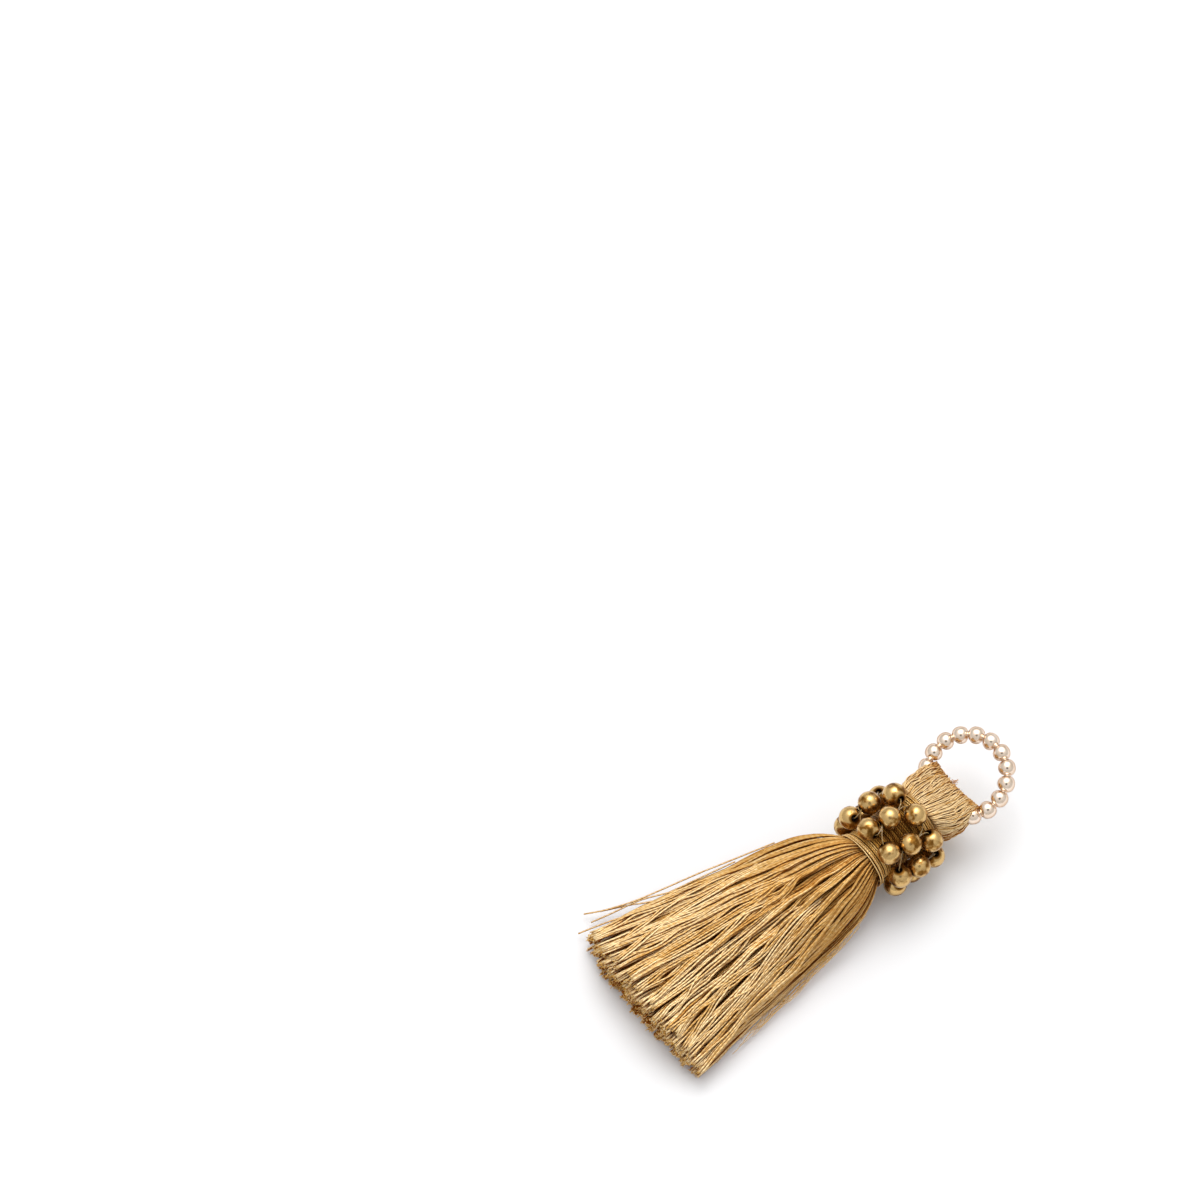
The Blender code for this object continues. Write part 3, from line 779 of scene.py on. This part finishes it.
def band_paths(around, depth):
    """Loops over the ring: along the top, round the fold and back underneath.

    Each thread's place in the section is its share, -1 to 1, of the way round the top half of a
    squarish outline. The run goes from the beads to the fold by a power of its share, and the
    height is the band's half height times a quarter ellipse near the fold, less the depth.
    """
    angle = np.linspace(-math.pi / 2, math.pi / 2, 400)
    across = np.sign(angle) * np.abs(np.sin(angle)) ** BAND_CORNERS
    height = np.abs(np.cos(angle)) ** BAND_CORNERS
    run = np.append(0, np.cumsum(np.hypot(np.diff(across) * 4.7, np.diff(height) * 3)))
    run = run / run[-1] * 2 - 1
    across, edge = np.interp(around, run, across), np.interp(around, run, height)
    facing = np.interp(around, run, angle) * 0.8
    swing = np.linspace(-1, 1, BAND_STEPS)[None]
    reach = 1 - np.abs(swing) ** 1.8
    half_width = smooth_between(BAND_SECTIONS, np.full(1, 9.0))[0, 0]
    tip = BAND_FRONT - depth + BAND_BOW * (across * half_width) ** 2
    along = BAND_BACK + (tip - BAND_BACK) * reach
    width, height = smooth_between(BAND_SECTIONS, along)
    fold = BAND_FOLD - depth
    near = np.clip((along - (tip - fold)) / fold, 0, 1)
    raised = -np.sign(swing) * (height - depth) * edge * np.sqrt(1 - near ** 2)
    aside = BAND_SHIFT * np.clip((along - 4.4) / 3.2, 0, 1)
    places = np.stack((COLLAR[0] + along, COLLAR[1] + aside - across * (width - 0.15 - depth),
                       COLLAR[2] + raised), axis=-1)
    outward = np.stack((np.cos(facing) * near, -np.sin(facing),
                        -np.sign(swing) * np.cos(facing) * np.sqrt(1 - near ** 2)), axis=-1)
    return places, outward


def make_band(material):
    """The silk that folds over the ring, thread by thread in layers, with painted shade at the
    fold's lip.
    """
    random = np.random.default_rng(8)
    count = BAND_ACROSS * len(BAND_LAYERS)
    around = np.tile(np.linspace(-0.99, 0.99, BAND_ACROSS), len(BAND_LAYERS))
    depth = np.repeat(BAND_LAYERS, BAND_ACROSS) + 0.13
    share = np.linspace(0, 1, BAND_STEPS)
    around = around[:, None] + random.normal(0, 0.007, (count, 1))
    around = around + waves(random, count, share, *BAND_DRIFT)
    depth = depth[:, None] + waves(random, count, share, *BAND_DIP)
    paths, outward = band_paths(around.clip(-1, 1), depth)
    # Each thread's pale top, between its painted side shade, faces out from the band.
    beside = np.cross(np.gradient(paths, axis=1), outward)
    # Painted shade darkens the threads at the fold's lip.
    lip = eased((paths[..., 0] - COLLAR[0] - BAND_FRONT + 1.4) / 0.8)
    tone_and_painted_shading = (random.normal(0.9, 0.2, (count, 1)) - 0.35 * lip).clip(0, 1)
    thread_piece("head_band_threads", paths, BAND_THREAD_RADIUS, material, tone_and_painted_shading,
                 ("silk_skein",), beside=beside)


def make_core(material):
    """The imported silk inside: one solid from the ring's back through the neck to the skirt.

    Each section is a superellipse, and its front is bowed to the ring's curve.
    """
    sections = np.array(CORE_SECTIONS)
    angle = np.linspace(0, math.tau, 48, endpoint=False)
    along, width, height, square, bow = sections.T[:, :, None]
    cosine, sine = np.cos(angle), np.sin(angle)
    reach = (np.abs(cosine) ** square + np.abs(sine) ** square) ** (-1 / square)
    side, raised = cosine * reach * width, sine * reach * height
    points = np.stack((along + bow * side ** 2, side, raised), axis=-1) + COLLAR
    count = len(angle)
    index = np.arange(points.shape[0] * count).reshape(-1, count)
    here, there = index[:-1], index[1:]
    quads = np.stack((here, np.roll(here, -1, 1), np.roll(there, -1, 1), there), -1)
    faces = [quads.reshape(-1, 4), index[:1, ::-1], index[-1:]]
    uv = np.full((sum(f.size for f in faces), 2), TOP_OF_THREAD)
    # Its low tone, 0.1, is painted shade: the inside is seen only in gaps, where it stands dark.
    make_piece("packed_silk_core", points.reshape(-1, 3), faces, material,
               ("silk_skein",), {"tone_and_painted_shading": np.full(points.size // 3, 0.1)}, uv)


def make_wraps(material, waist_material):
    """Fine thread wound round the neck in one long helix, and the proud turns at the waist.

    A proud turn is a circle tilted by a sine and a cosine of its angle, with a slight ripple.
    """
    turns = (WRAP_ENDS[0] - WRAP_ENDS[1]) / WRAP_PITCH
    angle = np.linspace(0, turns * math.tau, int(turns * 44))
    along = WRAP_ENDS[0] - angle / math.tau * WRAP_PITCH
    wobble = 0.04 * np.sin(angle * 0.37) + 0.03 * np.sin(angle * 1.13)
    path = np.stack((along + wobble, WRAP_RADIUS * np.sin(angle),
                     WRAP_RADIUS * np.cos(angle)), -1)
    # Painted shade: the winding is darkest in the middle, under the beads, and paler towards its
    # ends. The sine makes its tone uneven.
    tone_and_painted_shading = 0.1 + 0.65 * eased((np.abs(along) - 2.6) / 1.1) + 0.16 * np.sin(angle * 2.3)
    thread_piece("neck_wraps", path[None] + COLLAR, WRAP_THREAD_RADIUS, material,
                 tone_and_painted_shading[None].clip(0, 1), ("neck_binding",), beside=(1, 0, 0))
    angle = np.linspace(0, math.tau, 72, endpoint=False)
    along, radius, aside, above, thick, tone_and_painted_shading = np.array(PROUD_TURNS).T[:, :, None]
    ripple = 0.03 * np.sin(5 * angle + along * 7)
    path = np.stack((along + aside * np.sin(angle) + above * np.cos(angle),
                     (radius + ripple) * np.sin(angle), (radius + ripple) * np.cos(angle)), -1)
    thread_piece("waist_wraps", path + COLLAR, thick, waist_material, tone_and_painted_shading,
                 ("neck_binding",), beside=(1, 0, 0), closed=True)


# ---- beads and ring

def lathe(profile, sides):
    """Turn a closed outline (radius, height) about Z; it runs up its outer side."""
    angle = np.linspace(0, math.tau, sides, endpoint=False)
    radius, height = profile.T
    points = np.stack((radius[:, None] * np.cos(angle), radius[:, None] * np.sin(angle),
                       np.broadcast_to(height[:, None], (len(radius), sides))), axis=-1)
    index = np.arange(len(radius) * sides).reshape(-1, sides)
    there = np.roll(index, -1, axis=0)
    quads = np.stack((index, np.roll(index, -1, 1), np.roll(there, -1, 1), there), -1)
    return points.reshape(-1, 3), quads.reshape(-1, 4)


def bead_outline():
    """A ball's arc, its rounded lips and its bore, bottom to top up the outside."""
    start = math.asin((BEAD_HOLE_RADIUS + BEAD_LIP) / BEAD_RADIUS)
    arc = np.linspace(-math.pi / 2 + start, math.pi / 2 - start, 26)
    outer = np.stack((BEAD_RADIUS * np.cos(arc), BEAD_RADIUS * np.sin(arc)), -1)
    mouth = outer[-1, 1]
    turn = np.linspace(0.3, math.pi / 2, 4)
    lip = np.stack((BEAD_HOLE_RADIUS + BEAD_LIP * (1 - np.sin(turn)),
                    mouth - BEAD_LIP * (1 - np.cos(turn))), -1)
    lower = lip[::-1] * (1, -1)
    bore = np.array([(BEAD_HOLE_RADIUS, BEAD_BORE), (BEAD_HOLE_RADIUS, -BEAD_BORE)])
    return np.concatenate((outer, lip, bore, lower))


def bead_place(row, number):
    """A bead's middle, its way out from the neck, and its hole's way.

    The middle row's holes run along the tassel, and the outer rows' run about it.
    """
    middle = box_middle(f"bead_{row}_{number}")
    outward = unit((middle - COLLAR) * (0, 1, 1))
    along = np.array((1.0, 0.0, 0.0))
    return middle, outward, along if row == "middle" else np.cross(outward, along)


def make_beads(material):
    """Each bead in its solid's place, a little unlike the next in size and roundness."""
    random = np.random.default_rng(21)
    shape, quads = lathe(bead_outline(), 40)
    off_axis = np.hypot(shape[:, 0], shape[:, 1])
    lip = np.clip(1.25 - (off_axis - BEAD_HOLE_RADIUS) / PATINA_REACH, 0, 1)
    for row in BEAD_ROWS:
        for number in range(1, BEADS_IN_ROW + 1):
            middle, outward, hole = bead_place(row, number)
            turned = np.stack((outward, np.cross(hole, outward), hole))
            size = random.uniform(*BEAD_SIZES) + LARGER_BY * ((row, number) == LARGEST_BEAD)
            points = shape * size * random.uniform(*BEAD_WIDTHS, 3) @ turned + middle
            make_piece(f"bronze_bead_{row}_{number}", points, [quads], material,
                       (f"bead_{row}_{number}",), {"lip": lip})


def make_line(material):
    """The nylon between neighbouring holes: two parabolas from each outer bead's mouths."""
    middle_row = [bead_place("middle", i + 1)[0] for i in range(BEADS_IN_ROW)]
    lines = []
    for outer_row, way in (("head", 1), ("skirt", -1)):
        for number in range(BEADS_IN_ROW):
            outer, _, hole = bead_place(outer_row, number + 1)
            for aim in (-hole, hole):
                start = outer + aim * BEAD_RADIUS * LINE_IN_HOLE
                ahead = outer + aim * LINE_AIM
                nearest = min(middle_row, key=lambda bead: np.linalg.norm(bead - ahead))
                end = nearest + np.array((way, 0, 0)) * BEAD_RADIUS * LINE_IN_HOLE
                lines.append((start, end, outer + aim * LINE_BULGE - (start + end) / 2))
    starts, ends, leans = np.array(lines).transpose(1, 0, 2)[:, :, None]
    share = np.linspace(0, 1, 12)[None, :, None]
    paths = starts * (1 - share) + ends * share + leans * share * (1 - share) * LINE_SLACK
    points, faces, _ = tubes(paths, LINE_RADIUS, 8, (0.2, 1, 0.3))
    make_piece("bead_net_line", points, faces, material, ())


def make_ring(material):
    """A closed wire whose radius swells to a flattened ball and back, sixteen times round."""
    steps = RING_BALLS * RING_STEPS
    angle = np.arange(steps) * math.tau / steps
    from_ball = ((angle - RING_FIRST_BALL) * RING_BALLS / math.tau + 0.5) % 1 - 0.5
    offset = from_ball * math.tau * RING_RADIUS / RING_BALLS / RING_BALL_LENGTH
    square = RING_BALL_SQUARENESS
    ball = RING_BALL_RADIUS * np.maximum(1 - np.abs(offset) ** square, 0) ** (1 / square)
    radius = (ball ** 5 + RING_NECK_RADIUS ** 5) ** 0.2
    ahead, aside = RING_RADIUS * np.cos(angle), RING_RADIUS * np.sin(angle)
    pitched = np.array((math.cos(RING_PITCH), 0, math.sin(RING_PITCH)))
    path = ahead[:, None] * pitched + aside[:, None] * (0, 1, 0) + box_middle("beaded_ring")
    beside = (-math.sin(RING_PITCH), 0, math.cos(RING_PITCH))
    points, faces, _ = tubes(path[None], radius[None], 20, beside, closed=True)
    make_piece("polished_ring", points, faces, material, ("beaded_ring",))


# ---- floor, light and camera

CAMERA_AZIMUTH = math.radians(-40.7)
CAMERA_ELEVATION = math.radians(65)
CAMERA_DISTANCE = 950.0
PHOTO_SIDE = 1200
PHOTO_SCALE = 7.6  # pixels of the photo for each mm at the collar
COLLAR_PIXEL = (890.3, 837.0)
KEY_DIRECTION = (0.28, 0.30, 0.912)
SKY_CAPS = (
    # cosine at its edge, cosine where it is full, light outside it, inside it, and its use
    (0.70, 0.96, 0.0, 1.05, "ADD"),
    (0.93, 0.98, 0.0, 3.4, "ADD"),
    (0.955, 0.985, 1.0, 0.12, "MULTIPLY"),
)
WALLS = ((0.0, "#D2D2D2"), (0.25, "#D2D2D2"), (0.5, "#DADADA"), (1.0, "#FFFFFF"))
STUDIO_STRENGTH = 1.02


def camera_axes():
    """The camera's right, up and back, from its azimuth and elevation."""
    sin_a, cos_a = math.sin(CAMERA_AZIMUTH), math.cos(CAMERA_AZIMUTH)
    sin_e, cos_e = math.sin(CAMERA_ELEVATION), math.cos(CAMERA_ELEVATION)
    back = Vector((sin_a * cos_e, -cos_a * cos_e, sin_e))
    right = Vector((cos_a, sin_a, 0))
    return right, back.cross(right), back


def add_camera():
    """A long lens at the photo's angle, aimed so that the collar falls on its own pixel."""
    right, up, back = camera_axes()
    aside = (COLLAR_PIXEL[0] - PHOTO_SIDE / 2) / PHOTO_SCALE
    below = (COLLAR_PIXEL[1] - PHOTO_SIDE / 2) / PHOTO_SCALE
    location = Vector(COLLAR) - right * aside + up * below + back * CAMERA_DISTANCE
    data = bpy.data.cameras.new("camera")
    data.angle = 2 * math.atan(PHOTO_SIDE / 2 / PHOTO_SCALE / CAMERA_DISTANCE)
    data.clip_start, data.clip_end = 0.05, 20
    camera = bpy.data.objects.new("camera", data)
    bpy.context.scene.collection.objects.link(camera)
    camera.matrix_world = (Matrix.Translation(location * MM)
                           @ Matrix((right, up, back)).transposed().to_4x4())
    bpy.context.scene.camera = camera


def add_floor():
    """A plain white tabletop, so large that its edge is never seen."""
    bpy.ops.mesh.primitive_plane_add(size=6)
    floor = bpy.context.object
    floor.name = "tabletop"
    material, _, _ = new_material("white_paper_sweep", {
        "Roughness": 0.9, "Base Color": linear("#E9E9EA")})
    floor.data.materials.append(material)


def add_world():
    """A studio: a broad soft light high towards the ring and +Y, pale walls, a dark camera.

    Each is a cap of the sky, by the cosine between its middle and the ray. The light's two caps
    are added to the walls, and the camera's holds their light back.
    """
    world = bpy.data.worlds.new("studio")
    bpy.context.scene.world = world
    world.use_nodes = True
    tree = world.node_tree
    ray = add_node(tree, "TexCoord").outputs["Generated"]
    height = add_node(tree, "SeparateXYZ", {0: ray})
    sky = add_node(tree, "ValToRGB", {"Fac": height.outputs["Z"]}, stops=WALLS).outputs[0]
    for edge, full, outside, inside, blend in SKY_CAPS:
        middle = Vector(KEY_DIRECTION) if blend == "ADD" else camera_axes()[2]
        facing = add_node(tree, "VectorMath", {0: ray, 1: middle}, operation="DOT_PRODUCT")
        cap = add_node(tree, "MapRange", {"Value": facing.outputs["Value"], "From Min": edge,
                                          "From Max": full, "To Min": outside, "To Max": inside},
                       interpolation_type="SMOOTHSTEP")
        sky = add_node(tree, "Mix", {"Factor": 1.0, 6: sky, 7: cap.outputs[0]},
                       data_type="RGBA", blend_type=blend).outputs[2]
    background = tree.nodes["Background"]
    set_inputs(background, {"Color": sky, "Strength": STUDIO_STRENGTH})


# Painted side shade, dark, middle and pale of each, then its twist and roughness.
SILK = silk_material("twisted_filament_silk", "#925006", "#A26216", "#D0A25C", "#F2D7A4",
                     THREAD_LAY, 0.34)
# The cut ends scatter more light than the thread's side, so they look pale and dull.
CUT = silk_material("brushed_out_silk_ends", "#C07C18", "#D09432", "#EABE66", "#FCE09A",
                    THREAD_LAY, 0.5)
# The winding is tighter and glossier, and dark where the beads shade it.
BINDING = silk_material("glossy_binding_thread", "#7A4A12", "#5E360C", "#CC9644", "#F0CA84",
                        BINDING_LAY, 0.22)
WAIST = silk_material("glossy_waist_thread", "#A46A1C", "#B47A28", "#DCA858", "#F8DCA4",
                      BINDING_LAY, 0.2)
make_skirt(SILK, CUT)
make_crossings(SILK)
make_strays(SILK)
make_haze(CUT)
make_band(SILK)
make_core(SILK)
make_wraps(BINDING, WAIST)
make_beads(bronze_material())
make_line(nylon_material())
make_ring(pale_gold_material())
add_floor()
add_world()
add_camera()
bpy.context.scene.view_settings.view_transform = "Standard"
